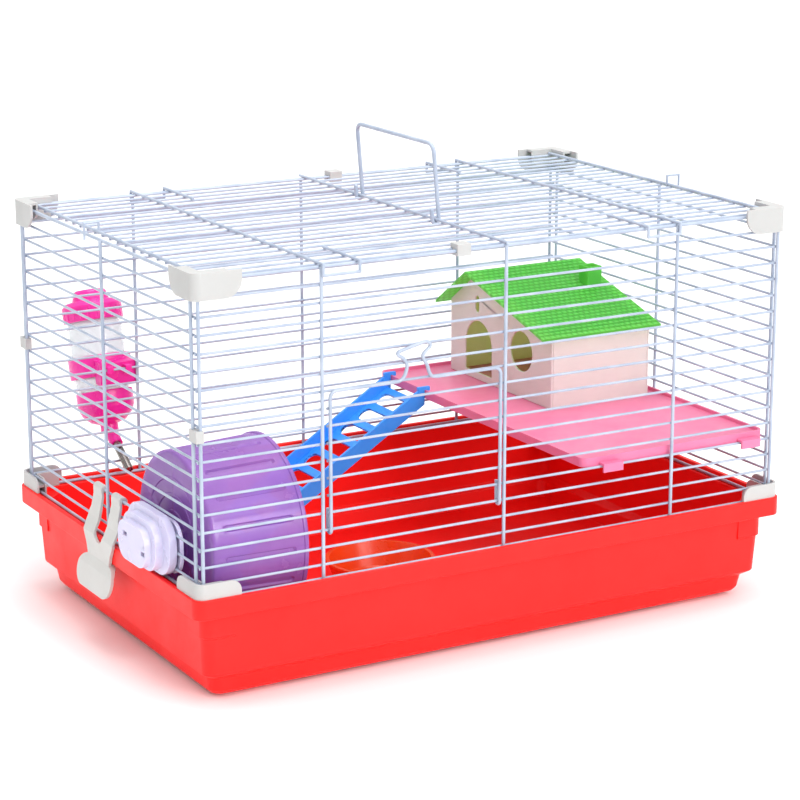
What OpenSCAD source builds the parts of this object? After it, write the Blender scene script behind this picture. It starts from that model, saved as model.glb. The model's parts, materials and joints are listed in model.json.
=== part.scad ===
// Small-animal cage: plastic tray, wire enclosure, front door, carry handle,
// side latches, exercise wheel, shelf with house and ladder, dish and drinking bottle.
// Units are mm. Origin at the middle of the tray's footprint, z = 0 at its feet,
// +X along the length, -Y is the door side, +Z up.

/* [Overall] */
// Length over the tray rim
cage_w = 580; // [480:10:700]
// Depth over the tray rim
cage_d = 380; // [330:10:460]
// Height of the tray from feet to rim top
tray_h = 96; // [84:1:120]
// Height from the rim top to the top frame wire
wall_h = 257; // [220:1:310]

/* [Wire] */
// Number of level bars in each wall
bars = 18; // [16:1:21]
// Diameter of the level bars
bar_d = 2.2; // [1.8:0.1:2.6]
// Diameter of the upright and frame wires
post_d = 3; // [2.6:0.1:3.4]
// Spacing of the lengthwise roof wires
roof_pitch = 15.8; // [12:0.1:20]

/* [Door and handle] */
// Number of the level bar that the door hinges on
door_bar = 2; // [2:1:3]
// Number of bar spaces that the door covers
door_bars = 8; // [6:1:9]
// Diameter of the handle wire
handle_d = 3.6; // [3:0.1:4.2]
// Width of the handle between its arms
handle_w = 135; // [100:1:160]
// Height of the handle bar above its pivot
handle_h = 65; // [50:1:80]
// Backward lean of the handle at rest, degrees
handle_lean = 5; // [0:1:10]

/* [Tray] */
// Thickness of the tray wall
tray_t = 2.5; // [2:0.1:3.5]
// Depth of the rim skirt
skirt_h = 16.5; // [14:0.5:20]

/* [Wheel] */
// Outer radius of the wheel at its open side
wheel_r = 78; // [62:1:82]
// Width of the wheel drum
wheel_w = 84; // [60:1:95]
// Number of treads
treads = 18; // [12:1:24]
// Radius of the wheel axle
axle_r = 3; // [2.5:0.1:4]

/* [Shelf and house] */
// Length of the shelf
shelf_w = 194; // [165:1:210]
// Length of the house along the cage
house_w = 109; // [90:1:118]
// Width of the house across the cage
house_d = 180; // [150:1:200]
// Height of the low wall of the house
house_h = 69; // [55:1:80]
// Ladder width over its rails
ladder_w = 68; // [56:1:80]
// Pitch of the ladder rungs
rung_p = 23; // [19:1:28]

/* [Dish and bottle] */
// Radius of the dish rim
dish_r = 50; // [38:1:56]
// Height of the dish
dish_h = 25; // [18:1:35]
// Radius of the bottle body
bottle_r = 26.3; // [20:0.1:28]

/* [Hidden] */
$fn = 64;

hx = cage_w / 2;
hy = cage_d / 2;
rim_z = tray_h;
bar_r = bar_d / 2;
post_r = post_d / 2;
// Insets from the rim's outer edge: upright wires, and the level bars behind them
up_in = 7.6;
bar_in = up_in + post_r + bar_r - 0.3;
first_bar = 9.6;
pitch = (wall_h - first_bar) / (bars - 1);
foot_wire_z = rim_z - 2.4;
top_z = rim_z + wall_h;
bay = 0.297 * cage_w;
corner_post = 10;
side_post = 16;
loft_z = top_z + post_r + 1.5;
long_z = loft_z - 1.3 - bar_r + 0.25;
cross_r = 1.3;
roof_end = hx - 17;
roof_n = floor((hy - 15) / roof_pitch);

// Door
door_l = -bay + 7.5;
door_r = -4.7;
door_top = door_bar + door_bars;
door_y = -(hy - bar_in + bar_r + post_r + 0.1);
hook_r = bar_r + post_r + 0.1;
hinge_z = bar_z(door_bar);

// Shelf, set at the fourth bar
shelf_bar = 3;
shelf_in = 12;
shelf_r = hx - 14;
shelf_l = shelf_r - shelf_w;
shelf_z = bar_z(shelf_bar) + bar_r + 0.1;
shelf_top = shelf_z + 4.2;
rim_top = shelf_top + 3;

// House
house_x = shelf_r - 15 - house_w;
house_y1 = hy - 30;
house_y0 = house_y1 - house_d;
ridge_y = house_y1 - 0.27 * house_d;
wall_t = 2.2;
roof_t = 2.4;
ridge_h = house_h + 36;

// Wheel
wheel_y = -(hy - 95);
wheel_z = rim_z + 23;
wheel_x = -(hx - 26);
hub_r = axle_r + 6;

// Bottle axis leans back from the rear wall
bot_x = -(hx - 98);
bot_tilt = 17.5;
bot_y = hy + 22;
bot_z = rim_z + 57;

function bar_z(k) = rim_z + first_bar + k * pitch;

module rr(sx, sy, r) {
  translate([-sx / 2 + r, -sy / 2]) square([sx - 2 * r, sy]);
  translate([-sx / 2, -sy / 2 + r]) square([sx, sy - 2 * r]);
  for (x = [-1, 1], y = [-1, 1])
    translate([x * (sx / 2 - r), y * (sy / 2 - r)]) circle(r);
}

// Tray section whose inset goes from i0 at height z0 down to i1 at z1
module bowl(i0, z0, i1, z1, r) {
  sx = cage_w - 2 * i1;
  sy = cage_d - 2 * i1;
  translate([0, 0, z1])
    linear_extrude(z0 - z1, slices = 1,
                   scale = [(cage_w - 2 * i0) / sx, (cage_d - 2 * i0) / sy])
      rr(sx, sy, r, $fn = 32);
}

module slab(i, z0, z1, r) {
  translate([0, 0, z0])
    linear_extrude(z1 - z0) rr(cage_w - 2 * i, cage_d - 2 * i, r);
}

module rod_x(x0, x1, y, z, r) {
  translate([x0, y, z]) rotate([0, 90, 0]) cylinder(h = x1 - x0, r = r, $fn = 24);
}

module rod_y(y0, y1, x, z, r) {
  translate([x, y0, z]) rotate([-90, 0, 0]) cylinder(h = y1 - y0, r = r, $fn = 24);
}

module rod_z(z0, z1, x, y, r) {
  translate([x, y, z0]) cylinder(h = z1 - z0, r = r, $fn = 24);
}

// Quarter bend of a wire in the XZ plane, from +X round towards +Z
module bend(rc, r, a = 90) {
  rotate([90, 0, 0]) rotate_extrude(angle = a, $fn = 48)
    translate([rc, 0]) circle(r, $fn = 24);
}

// ---------------------------------------------------------------- tray
module tray_outer() {
  bowl(11.5, rim_z - 5, 14.5, rim_z - 71, 10);
  bowl(14.5, rim_z - 70.9, 22, rim_z - 76, 10);
  bowl(22, rim_z - 75.9, 24, 8, 10);
  bowl(24, 8.1, 27, 4, 9);
}

module base_tray() {
  color([0.97, 0.2, 0.2]) {
    difference() {
      union() {
        slab(0, rim_z - skirt_h, rim_z, 10);
        tray_outer();
        for (x = [-1, 1], y = [-1, 1]) {
          intersection() {
            slab(11.2, rim_z - 38, rim_z - 5, 10);
            translate([x * (hx - 22), y * (hy - 22), rim_z - 22])
              cube([34, 34, 40], center = true);
          }
          translate([x * (hx - 68), y * (hy - 46), 2.5])
            cube([46, 20, 5], center = true);
        }
        // round pad under the middle of the floor
        cylinder(h = 5, r = 20);
      }
      // recess for the foot wires behind the outer lip
      slab(4.5, rim_z - 4, rim_z + 1, 7);
      // underside of the rim, behind the skirt
      difference() {
        slab(2.4, rim_z - skirt_h - 1, rim_z - 6.5, 8);
        slab(11.4, rim_z - skirt_h - 2, rim_z - 6, 10);
      }
      bowl(11.5 + tray_t, rim_z + 1, 14.5 + tray_t, rim_z - 69, 8.5);
      bowl(14.5 + tray_t, rim_z - 68.9, 22 + tray_t, rim_z - 73.5, 8.5);
      bowl(22 + tray_t, rim_z - 73.4, 25 + tray_t, 4 + tray_t, 8);
    }
  }
}

// ---------------------------------------------------------------- wire walls
// A wall standing in the XZ plane: half width w, uprights listed in xs
module grille(w, xs, gap0 = 0, gap1 = -1, x0 = 0, x1 = 0) {
  for (k = [0:bars - 2]) {
    if (k >= gap0 && k <= gap1) {
      rod_x(-w, x0, 0, bar_z(k), bar_r);
      rod_x(x1, w, 0, bar_z(k), bar_r);
    } else {
      rod_x(-w, w, 0, bar_z(k), bar_r);
    }
  }
  rod_x(-w, w, 0, foot_wire_z, post_r - 0.1);
  rod_x(-w, w, 0, top_z, post_r);
  for (x = xs)
    rod_z(foot_wire_z - 0.6, top_z + 0.6, x, -(bar_in - up_in), post_r);
}

module front_panel() {
  px = hx - corner_post;
  color([0.8, 0.84, 0.9]) translate([0, -(hy - bar_in), 0])
    grille(px + 2.2, [-px, -bay, 0, bay, px],
           door_bar + 1, door_top - 1, -bay + 2.2, -2.2);
}

module back_panel() {
  px = hx - corner_post;
  color([0.8, 0.84, 0.9]) rotate([0, 0, 180]) translate([0, -(hy - bar_in), 0])
    grille(px + 2.2, [-px, -bay, 0, bay, px]);
}

module left_panel() {
  py = hy - side_post;
  color([0.8, 0.84, 0.9]) rotate([0, 0, -90]) translate([0, -(hx - bar_in), 0])
    grille(py + 2.2, [-py, 0, py]);
}

module right_panel() {
  py = hy - side_post;
  color([0.8, 0.84, 0.9]) rotate([0, 0, 90]) translate([0, -(hx - bar_in), 0])
    grille(py + 2.2, [-py, 0, py]);
}

// Roof hook: wire over the top frame wire, down, sideways, up and back
module roof_hook(dir) {
  y = -(hy - 4);
  drop = 9;
  rod_y(y, y + 62, dir * 33, loft_z, cross_r);
  rod_z(loft_z - drop, loft_z, 0, y, cross_r);
  rod_z(loft_z - drop, loft_z, dir * 33, y, cross_r);
  rod_x(min(0, dir * 33), max(0, dir * 33), y, loft_z - drop, cross_r);
  for (x = [0, dir * 33], z = [loft_z, loft_z - drop])
    translate([x, y, z]) sphere(cross_r, $fn = 24);
}

module roof_panel() {
  color([0.8, 0.84, 0.9]) {
    for (n = [-roof_n:roof_n])
      rod_x(-roof_end - 1, roof_end + 1, n * roof_pitch, long_z, bar_r);
    for (x = [-bay, bay]) {
      rod_y(-(hy - 4), hy - 4, x, loft_z, cross_r);
      translate([x, 0, 0]) roof_hook(x < 0 ? 1 : -1);
      translate([x, 0, 0]) rotate([0, 0, 180]) roof_hook(x < 0 ? -1 : 1);
    }
    rod_y(-(hy - 5.5), hy - 5.5, 0, loft_z, cross_r);
    for (s = [-1, 1]) {
      rod_y(-roof_n * roof_pitch - 1, roof_n * roof_pitch + 1, s * roof_end,
            loft_z - 0.1, cross_r + 0.1);
      // staple over the side wall's top wire
      rod_z(top_z - 3, loft_z + 8, s * (hx - up_in + 2.9), -s * 26, 1);
      rod_z(long_z, loft_z + 8, s * (roof_end - 0.8), -s * 26, 1);
      rod_x(min(s * (roof_end - 0.8), s * (hx - up_in + 2.9)),
            max(s * (roof_end - 0.8), s * (hx - up_in + 2.9)),
            -s * 26, loft_z + 8, 1);
      for (x = [s * (roof_end - 0.8), s * (hx - up_in + 2.9)])
        translate([x, -s * 26, loft_z + 8]) sphere(1, $fn = 24);
    }
  }
}

// ---------------------------------------------------------------- door
module door_side(x) {
  rod_z(hinge_z, bar_z(door_top) - 6, x, door_y, post_r);
  rod_z(hinge_z, hinge_z + 17.5, x, door_y + 2 * hook_r, post_r);
  translate([x, door_y + hook_r, hinge_z]) rotate([0, 0, 90])
    rotate([180, 0, 0]) bend(hook_r, post_r, 180);
}

// Flat spring of the latch: a band w wide that follows the points p
module band(p, w) {
  for (i = [0:len(p) - 2]) {
    d = p[i + 1] - p[i];
    translate(p[i]) rotate(atan2(d[1], d[0])) translate([0, -w / 2])
      square([norm(d), w]);
  }
  for (q = p)
    translate(q) circle(w / 2 + 0.15, $fn = 24);
}

module front_door() {
  zt = bar_z(door_top);
  xm = (door_l + door_r) / 2;
  u = pitch / 14.5;
  color([0.8, 0.84, 0.9]) {
    for (x = [door_l, door_r])
      door_side(x);
    for (k = [door_bar + 1:door_top - 1])
      rod_x(door_l - 2, door_r + 1.6, door_y + post_r + bar_r - 0.2, bar_z(k), bar_r);
    // rounded top corners
    translate([door_l + 6, door_y, zt - 6]) rotate([0, -90, 0]) bend(6, post_r);
    translate([door_r - 6, door_y, zt - 6]) bend(6, post_r);
    // top rail rising into the spring latch
    rod_x(door_l + 6, xm - 13.5, door_y, zt, post_r);
    rod_x(xm + 13.5, door_r - 6, door_y, zt, post_r);
    translate([xm, door_y + 1, zt]) rotate([90, 0, 0]) linear_extrude(2)
      band([[-17, 0], [-14, 0.6], [-11, 5 * u], [-10, 14 * u], [-17, 19 * u],
            [-14, 23 * u], [6, 30 * u], [12, 26 * u], [9, 21 * u],
            [4, 17 * u], [6, 12 * u], [11, 6 * u], [14, 0.6], [17, 0]], 2);
  }
}

// ---------------------------------------------------------------- handle
module handle_arm() {
  rc = cross_r + handle_d / 2 + 0.1;
  r = handle_d / 2;
  rod_z(0, handle_h - 8, rc, 0, r);
  rod_z(0, 8.5, -rc, 0, r);
  translate([-rc, 0, 8.5]) sphere(r, $fn = 24);
  rotate([180, 0, 0]) bend(rc, r, 180);
}

module carry_handle() {
  rc = cross_r + handle_d / 2 + 0.1;
  r = handle_d / 2;
  color([0.8, 0.84, 0.9])
    translate([0, 0, loft_z]) rotate([0, -handle_lean, 0]) {
      for (s = [-1, 1]) {
        translate([0, s * handle_w / 2, 0]) handle_arm();
        translate([rc, s * (handle_w / 2 - 8), handle_h - 8])
          rotate([0, 0, s * 90]) bend(8, r);
      }
      rod_y(-handle_w / 2 + 8, handle_w / 2 - 8, rc, handle_h, r);
    }
}

// ---------------------------------------------------------------- corners
module l_full(len, r) {
  translate([r, 0]) square([len - r, len]);
  translate([0, r]) square([len, len - r]);
  translate([r, r]) circle(r);
}

// L shape in plan: legs of length len and width w with a rounded outer corner
module l_ring(len, r, w) {
  difference() {
    l_full(len, r);
    translate([w, w]) l_full(len, max(r - w, 0.6));
  }
}

// Takes the low corner off the end of a leg that runs along X
module end_cut(len, r, t) {
  translate([len, t + 1, 0]) rotate([90, 0, 0]) linear_extrude(t + 2) difference() {
    translate([-r, -1]) square([r + 1, r + 1]);
    translate([-r, r]) circle(r);
  }
}

module leg_skin(len, h, r, t, rc) {
  difference() {
    linear_extrude(h) l_ring(len, rc, t);
    end_cut(len, r, t);
    mirror([1, -1, 0]) end_cut(len, r, t);
  }
}

module top_corner() {
  h = 22;
  translate([3.6, 3.6, -h]) leg_skin(43, h, 15, 2, 8);
  // inner skin and the web that ties the two together over the wires
  translate([12.8, 12.8, -15]) leg_skin(24, 15, 9, 1.7, 2.5);
  translate([3.6, 3.6, -2]) linear_extrude(2) l_ring(33, 8, 10.9);
}

module bottom_corner() {
  difference() {
    union() {
      translate([2, 2, 13]) mirror([0, 0, 1]) leg_skin(39, 12.9, 9, 2.2, 8);
      translate([12.3, 12.3, 10]) mirror([0, 0, 1]) leg_skin(22, 13.8, 7, 1.6, 2.5);
      translate([2, 2, 2.6]) linear_extrude(2.2) l_ring(31, 8, 11.9);
    }
    rod_z(-5, 20, corner_post, up_in, post_r + 0.12);
    rod_z(-5, 20, up_in, side_post, post_r + 0.12);
  }
}

module at_corner(sx, sy, z) {
  translate([sx * hx, sy * hy, z])
    mirror([sx > 0 ? 1 : 0, 0, 0]) mirror([0, sy > 0 ? 1 : 0, 0]) children();
}

module top_corner_fl() {
  color([0.92, 0.92, 0.91]) at_corner(-1, -1, top_z + 7) top_corner();
}
module top_corner_fr() {
  color([0.92, 0.92, 0.91]) at_corner(1, -1, top_z + 7) top_corner();
}
module top_corner_bl() {
  color([0.92, 0.92, 0.91]) at_corner(-1, 1, top_z + 7) top_corner();
}
module top_corner_br() {
  color([0.92, 0.92, 0.91]) at_corner(1, 1, top_z + 7) top_corner();
}
module bottom_corner_fl() {
  color([0.92, 0.92, 0.91]) at_corner(-1, -1, rim_z) bottom_corner();
}
module bottom_corner_fr() {
  color([0.92, 0.92, 0.91]) at_corner(1, -1, rim_z) bottom_corner();
}
module bottom_corner_bl() {
  color([0.92, 0.92, 0.91]) at_corner(-1, 1, rim_z) bottom_corner();
}
module bottom_corner_br() {
  color([0.92, 0.92, 0.91]) at_corner(1, 1, rim_z) bottom_corner();
}

// ---------------------------------------------------------------- clips
module corner_clip() {
  difference() {
    translate([5.1, 5.1, -5]) cube([7, 13.4, 10]);
    rod_z(-6, 6, corner_post, up_in, post_r + 0.05);
    rod_z(-6, 6, up_in, side_post, post_r + 0.05);
    // relief for the ends of the side wall's bars
    translate([11, 11.4, -6]) cube([3, 10, 12]);
  }
}

module corner_clips() {
  color([0.93, 0.93, 0.95]) {
    at_corner(-1, -1, bar_z(8.5)) corner_clip();
    at_corner(-1, 1, bar_z(8.5)) corner_clip();
  }
}

module roof_clip() {
  y1 = hy - roof_n * roof_pitch;
  difference() {
    translate([-6.5, 6.2, -4]) cube([13, y1 - 6.2 + 2.4, 10]);
    rod_x(-8, 8, bar_in, 0, post_r + 0.05);
    rod_x(-8, 8, y1, long_z - top_z, bar_r + 0.05);
    translate([-8, bar_in + 3, -5]) cube([16, y1 - bar_in - 5.6, 4]);
  }
}

module roof_clips() {
  color([0.93, 0.93, 0.95]) {
    translate([-41, -hy, top_z]) roof_clip();
    rotate([0, 0, 180]) translate([-32, -hy, top_z]) roof_clip();
  }
}

// ---------------------------------------------------------------- latches
// Side profile in (x, z) measured from the rim's outer edge and top,
// x grows inwards; the hook rides on the bar above
module latch_profile() {
  hz = bar_z(2) - rim_z;
  t = 2.6;
  xo = bar_in - bar_r - 0.08 - t;
  polygon([[xo + 0.2, hz - 1], [xo + t - 0.2, hz - 1], [xo + t - 0.2, hz - 6],
           [4.6, 14], [-0.4, 3],
           [-0.4, -17.6], [2.2, -17.6], [2.2, -18.6], [-0.6, -21],
           [-3.6, -26], [-8.4, -46.5], [-11, -46.5], [-6.6, -26], [-3.1, -18],
           [-3.1, 2], [2, 13.4], [xo + 0.2, hz - 6]]);
}

// Hook of the latch over its bar
module latch_hook() {
  t = 2.6;
  ri = bar_r + 0.08;
  difference() {
    union() {
      circle(ri + t);
      translate([-ri - t, -3]) square([2 * (ri + t), 3]);
    }
    circle(ri);
    translate([-ri, -4]) square([2 * ri, 4]);
  }
}

// Front outline in (y, z) of the latch
module latch_outline() {
  hz = bar_z(2) - rim_z;
  translate([-22, -45.5]) square([44, 27]);
  for (s = [-1, 1]) {
    translate([s * 22, -32]) circle(13.5);
    translate([s * 19 - 9, 10]) square([18, hz - 14.2]);
    translate([s * 19, hz - 4.2]) circle(9);
  }
  polygon([[-23, -24], [23, -24], [22.5, -17], [25, -9], [30, 0], [31, 8],
           [31, 16], [27, 24], [-27, 24], [-31, 16], [-31, 8], [-30, 0],
           [-25, -9], [-22.5, -17]]);
}

module latch() {
  intersection() {
    rotate([90, 0, 0]) translate([0, 0, -50]) linear_extrude(100)
      latch_profile();
    rotate([90, 0, 90]) translate([0, 0, -20]) linear_extrude(50)
      difference() {
        latch_outline();
        translate([-9.5, 6]) square([19, 60]);
        translate([0, 6]) circle(9.5);
      }
  }
  for (s = [-1, 1])
    translate([bar_in, s * 19 + 8.6, bar_z(2) - rim_z]) rotate([90, 0, 0])
      linear_extrude(17.2) latch_hook();
}

module left_latch() {
  color([0.88, 0.88, 0.87]) translate([-hx, 0, rim_z]) latch();
}

module right_latch() {
  color([0.88, 0.88, 0.87]) translate([hx, 0, rim_z]) mirror([1, 0, 0]) latch();
}

// ---------------------------------------------------------------- wheel
module wheel_profile() {
  t = 2.4;
  r0 = wheel_r - 4.4;
  // x of the profile is radius, y runs along the axle from the closed side
  polygon([[axle_r + 0.06, -2], [hub_r, -2], [hub_r, 0], [r0 - 3, 0],
           [r0, 3], [wheel_r - 1.2, wheel_w - 4], [wheel_r, wheel_w - 3.4],
           [wheel_r, wheel_w], [wheel_r - t - 1.2, wheel_w],
           [wheel_r - t - 1.2, wheel_w - 3], [r0 - t, 4.2], [r0 - 4, t],
           [hub_r, t], [hub_r, 18], [axle_r + 0.06, 18]]);
}

module wheel_drum() {
  // slope of the drum's wall, which widens towards its open side
  wall_a = atan(3.2 / (wheel_w - 7));
  color([0.54, 0.33, 0.71])
    translate([wheel_x, wheel_y, wheel_z]) rotate([0, 90, 0]) {
      difference() {
        rotate_extrude($fn = 96) wheel_profile();
        for (i = [0:treads - 1])
          rotate([0, 0, (i + 0.5) * 360 / treads])
            translate([wheel_r - 4.83, -2, 12])
              rotate([0, wall_a, 0]) cube([6, 4, wheel_w - 24]);
      }
      // treads inside and spokes on the closed face
      for (i = [0:treads - 1])
        rotate([0, 0, (i + 0.5) * 360 / treads])
          translate([wheel_r - 9.5, -3.5, 8])
            rotate([0, wall_a, 0]) cube([4.2, 7, wheel_w - 16]);
      for (i = [0:5])
        rotate([0, 0, i * 60])
          translate([hub_r - 1, -1.5, -1.2]) cube([wheel_r - hub_r - 6, 3, 2]);
      for (r = [22, 36, 50])
        rotate_extrude($fn = 96) translate([r * wheel_r / 78, -0.9])
          square([2, 1.5]);
    }
}

module wheel_axle() {
  color([0.86, 0.84, 0.92])
    translate([-(hx - 16.5), wheel_y, wheel_z]) rotate([0, 90, 0]) {
      cylinder(h = 28.4, r = axle_r, $fn = 48);
      translate([0, 0, 27.8]) cylinder(h = 2.5, r = axle_r + 3, $fn = 48);
      cylinder(h = 7, r = axle_r + 3, $fn = 48);
    }
}

// Inner clamp plate: bears on the bars from inside and carries the axle
module wheel_bracket() {
  x0 = -(hx - bar_in - bar_r - 0.1);
  z1 = bar_z(1);
  color([0.86, 0.84, 0.92]) {
    difference() {
      translate([x0, wheel_y, rim_z + 25.5]) rotate([90, 0, 90])
        linear_extrude(3.2) rr(84, 44, 16);
      translate([-(hx - 16.5) - 3.4, wheel_y, wheel_z]) rotate([0, 90, 0])
        cylinder(h = 12, r = axle_r + 3, $fn = 48);
    }
    difference() {
      translate([x0 + 3.1, wheel_y, wheel_z]) rotate([0, 90, 0])
        cylinder(h = 5.5, r = axle_r + 7, $fn = 48);
      translate([x0, wheel_y, wheel_z]) rotate([0, 90, 0])
        cylinder(h = 12, r = axle_r + 3, $fn = 48);
    }
    translate([x0 - 11, wheel_y + 14, z1 + bar_r + 1.6]) cube([12, 7, 3]);
    translate([x0 - 11, wheel_y - 21, z1 - bar_r - 4.6]) cube([12, 7, 3]);
  }
}

// Outer clamp plate: plain rounded cover with two slots for the clamp tongues
module bracket_cover() {
  x1 = -(hx - bar_in + bar_r + 0.1);
  z1 = bar_z(1);
  color([0.86, 0.84, 0.92]) difference() {
    union() {
      translate([x1 - 7, wheel_y, rim_z + 27]) rotate([90, 0, 90])
        linear_extrude(7) rr(84, 50, 22);
      translate([x1 - 14, wheel_y + 3, rim_z + 25]) rotate([90, 0, 90])
        linear_extrude(8) rr(66, 42, 18);
      translate([x1 - 20, wheel_y + 5, rim_z + 23]) rotate([90, 0, 90])
        linear_extrude(7) rr(54, 34, 14);
    }
    translate([x1 - 22, wheel_y + 13.8, z1 + bar_r + 1.4]) cube([32, 7.4, 3.4]);
    translate([x1 - 22, wheel_y - 21.2, z1 - bar_r - 4.8]) cube([32, 7.4, 3.4]);
  }
}

// ---------------------------------------------------------------- shelf
module shelf_tab(x) {
  y0 = hy - bar_in - bar_r - 2.6;
  translate([x - 10, y0, shelf_z]) cube([20, bar_in - 4.9 + bar_r + 2.6 - 0.6, 2.2]);
  translate([x - 10, hy - 6.1, shelf_z - 5.5]) cube([20, 1.9, 7.5]);
}

module shelf() {
  sd = cage_d - 2 * shelf_in;
  xm = (shelf_l + shelf_r) / 2;
  color([0.96, 0.54, 0.68]) {
    difference() {
      translate([xm, 0, shelf_z - 0.8]) linear_extrude(rim_top - shelf_z + 0.8)
        rr(shelf_w, sd, 7);
      translate([xm, 0, shelf_top]) linear_extrude(10)
        rr(shelf_w - 4.4, sd - 4.4, 5);
      translate([xm, 0, shelf_z - 2]) linear_extrude(shelf_top - shelf_z - 0.2)
        rr(shelf_w - 4.4, sd - 4.4, 5);
    }
    for (f = [0.14, 0.9]) {
      shelf_tab(shelf_l + f * shelf_w);
      mirror([0, 1, 0]) shelf_tab(shelf_l + f * shelf_w);
    }
  }
}

// ---------------------------------------------------------------- ladder
floor_z = 4 + tray_t;
lad_ang = 32;
lad_len = (rim_top - 9 - floor_z) / sin(lad_ang) + 3.2;
lad_n = floor((lad_len - 30) / rung_p);

module ladder() {
  // origin on the shelf edge, local x runs down the slope
  color([0.12, 0.5, 0.94])
    translate([shelf_l - 0.4, hy - 32 - ladder_w, rim_top + 0.3]) {
      difference() {
        rotate([0, 180 - lad_ang, 0]) mirror([0, 0, 1]) {
          for (y = [0, ladder_w - 3])
            translate([0, y, -12]) cube([lad_len, 3, 15]);
          difference() {
            translate([9, 0.5, -10]) cube([lad_len - 14, ladder_w - 1, 2.6]);
            for (i = [0:lad_n - 1])
              translate([16 + i * rung_p, 0, -15]) {
                translate([0, 5, 0]) cube([rung_p - 8, ladder_w - 20, 20]);
                translate([(rung_p - 8) / 2, ladder_w - 15, 0])
                  cylinder(h = 20, r = (rung_p - 8) / 2);
              }
          }
        }
        translate([0, -1, -40]) cube([30, ladder_w + 2, 40]);
        translate([-60, -1, 3]) cube([90, ladder_w + 2, 40]);
        // foot trimmed level, just clear of the floor
        translate([-lad_len - 60, -1, floor_z - rim_top - 40])
          cube([lad_len + 60, ladder_w + 2, 40]);
      }
      // hooks over the shelf rim
      for (y = [0, ladder_w - 3])
        translate([-7, y, 0]) cube([12.4, 3, 3]);
      for (y = [0, ladder_w - 3])
        translate([3.4, y, -1]) cube([2.4, 3, 3.6]);
    }
}

// ---------------------------------------------------------------- house
module gable() {
  polygon([[house_y0, 0], [house_y1, 0], [house_y1, house_h + 2],
           [ridge_y, ridge_h], [house_y0, house_h]]);
}

module house_front() {
  dy = ridge_y - 3;
  wy = house_y0 + 0.29 * house_d;
  color([0.9, 0.84, 0.83])
    translate([house_x, 0, shelf_top + 0.1]) rotate([90, 0, 90])
      linear_extrude(wall_t) difference() {
        gable();
        translate([dy - 24, 7]) square([48, 27]);
        translate([dy, 34]) circle(24);
        translate([wy, 44.5]) circle(19);
        translate([dy + 3, 70]) circle(3.4);
        translate([dy - 0.4, 70]) square([6.8, 9]);
        translate([dy + 3, 79]) circle(3.4);
      }
}

module house_back() {
  color([0.9, 0.84, 0.83])
    translate([house_x + house_w - wall_t, 0, shelf_top + 0.1])
      rotate([90, 0, 90]) linear_extrude(wall_t) gable();
}

module house_low_wall() {
  color([0.9, 0.84, 0.83])
    translate([house_x + wall_t + 0.05, house_y0, shelf_top + 0.1])
      cube([house_w - 2 * wall_t - 0.1, wall_t, house_h - 1]);
}

module house_high_wall() {
  color([0.9, 0.84, 0.83])
    translate([house_x + wall_t + 0.05, house_y1 - wall_t, shelf_top + 0.1])
      cube([house_w - 2 * wall_t - 0.1, wall_t, house_h]);
}

module roof_shape(lift, t) {
  sl = 36 / (ridge_y - house_y0);
  sh = 34 / (house_y1 - ridge_y);
  polygon([[house_y0 - 7, house_h - 7 * sl + lift], [ridge_y, ridge_h + lift],
           [house_y1 + 6, house_h + 2 - 6 * sh + lift],
           [house_y1 + 6, house_h + 2 - 6 * sh + lift + t],
           [ridge_y, ridge_h + lift + t],
           [house_y0 - 7, house_h - 7 * sl + lift + t]]);
}

module house_roof() {
  color([0.36, 0.78, 0.33])
    translate([house_x - 14, 0, shelf_top + 0.1]) rotate([90, 0, 90])
      linear_extrude(house_w + 22) roof_shape(0.15, roof_t);
}

module house_chimney() {
  cy = ridge_y - 50;
  sl = 36 / (ridge_y - house_y0);
  base = ridge_h - 50 * sl + roof_t + 0.15;
  color([0.36, 0.78, 0.33]) difference() {
    translate([house_x + house_w - 21, cy - 8, shelf_top + base - 4])
      cube([16, 16, 22]);
    translate([house_x - 14, 0, shelf_top + 0.1]) rotate([90, 0, 90])
      linear_extrude(house_w + 22) roof_shape(-20, roof_t + 20.2);
    translate([house_x + house_w - 18.5, cy - 5.5, shelf_top + base + 6])
      cube([11, 11, 22]);
  }
}

// ---------------------------------------------------------------- dish
module food_dish() {
  color([0.95, 0.4, 0.15])
    translate([-13, 8, floor_z + 0.1]) rotate_extrude($fn = 96)
      polygon([[0, 0], [dish_r - 12, 0], [dish_r - 9, 2], [dish_r - 1.5, dish_h - 3],
               [dish_r, dish_h - 2.4], [dish_r, dish_h], [dish_r - 3.4, dish_h],
               [dish_r - 11.4, 3.6], [dish_r - 13, 2.6], [0, 2.6]]);
}

// ---------------------------------------------------------------- bottle
module bottle_frame() {
  translate([bot_x, bot_y, bot_z]) rotate([-bot_tilt, 0, 0]) children();
}

module bottle_body() {
  r = bottle_r;
  color([0.92, 0.94, 0.95, 0.5]) bottle_frame()
    rotate_extrude($fn = 96)
      polygon([[r - 4.2, -6], [r - 2.2, -6], [r - 2.2, 12.4], [r, 17], [r, 74],
               [r - 1.2, 76], [r - 1.2, 88], [r - 3, 88], [r - 3, 75],
               [r - 1.8, 73], [r - 1.8, 18], [r - 4.2, 13]]);
}

module bottle_cap() {
  r = bottle_r;
  color([0.94, 0.17, 0.63]) bottle_frame() {
    difference() {
      union() {
        rotate_extrude($fn = 96)
          polygon([[0, 89], [r - 0.9, 89], [r - 0.9, 78], [r + 1.2, 78],
                   [r + 1.7, 79], [r + 1.7, 92], [r - 2, 96], [r - 9, 97.5],
                   [r - 11, 105], [r - 13, 107], [0, 107]]);
      }
      translate([0, 0, 91]) cylinder(h = 14, r = r - 14);
      for (i = [0:23])
        rotate([0, 0, i * 15]) translate([r + 2.4, 0, 80])
          cylinder(h = 9, r = 1.5, $fn = 16);
    }
  }
}

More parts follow.
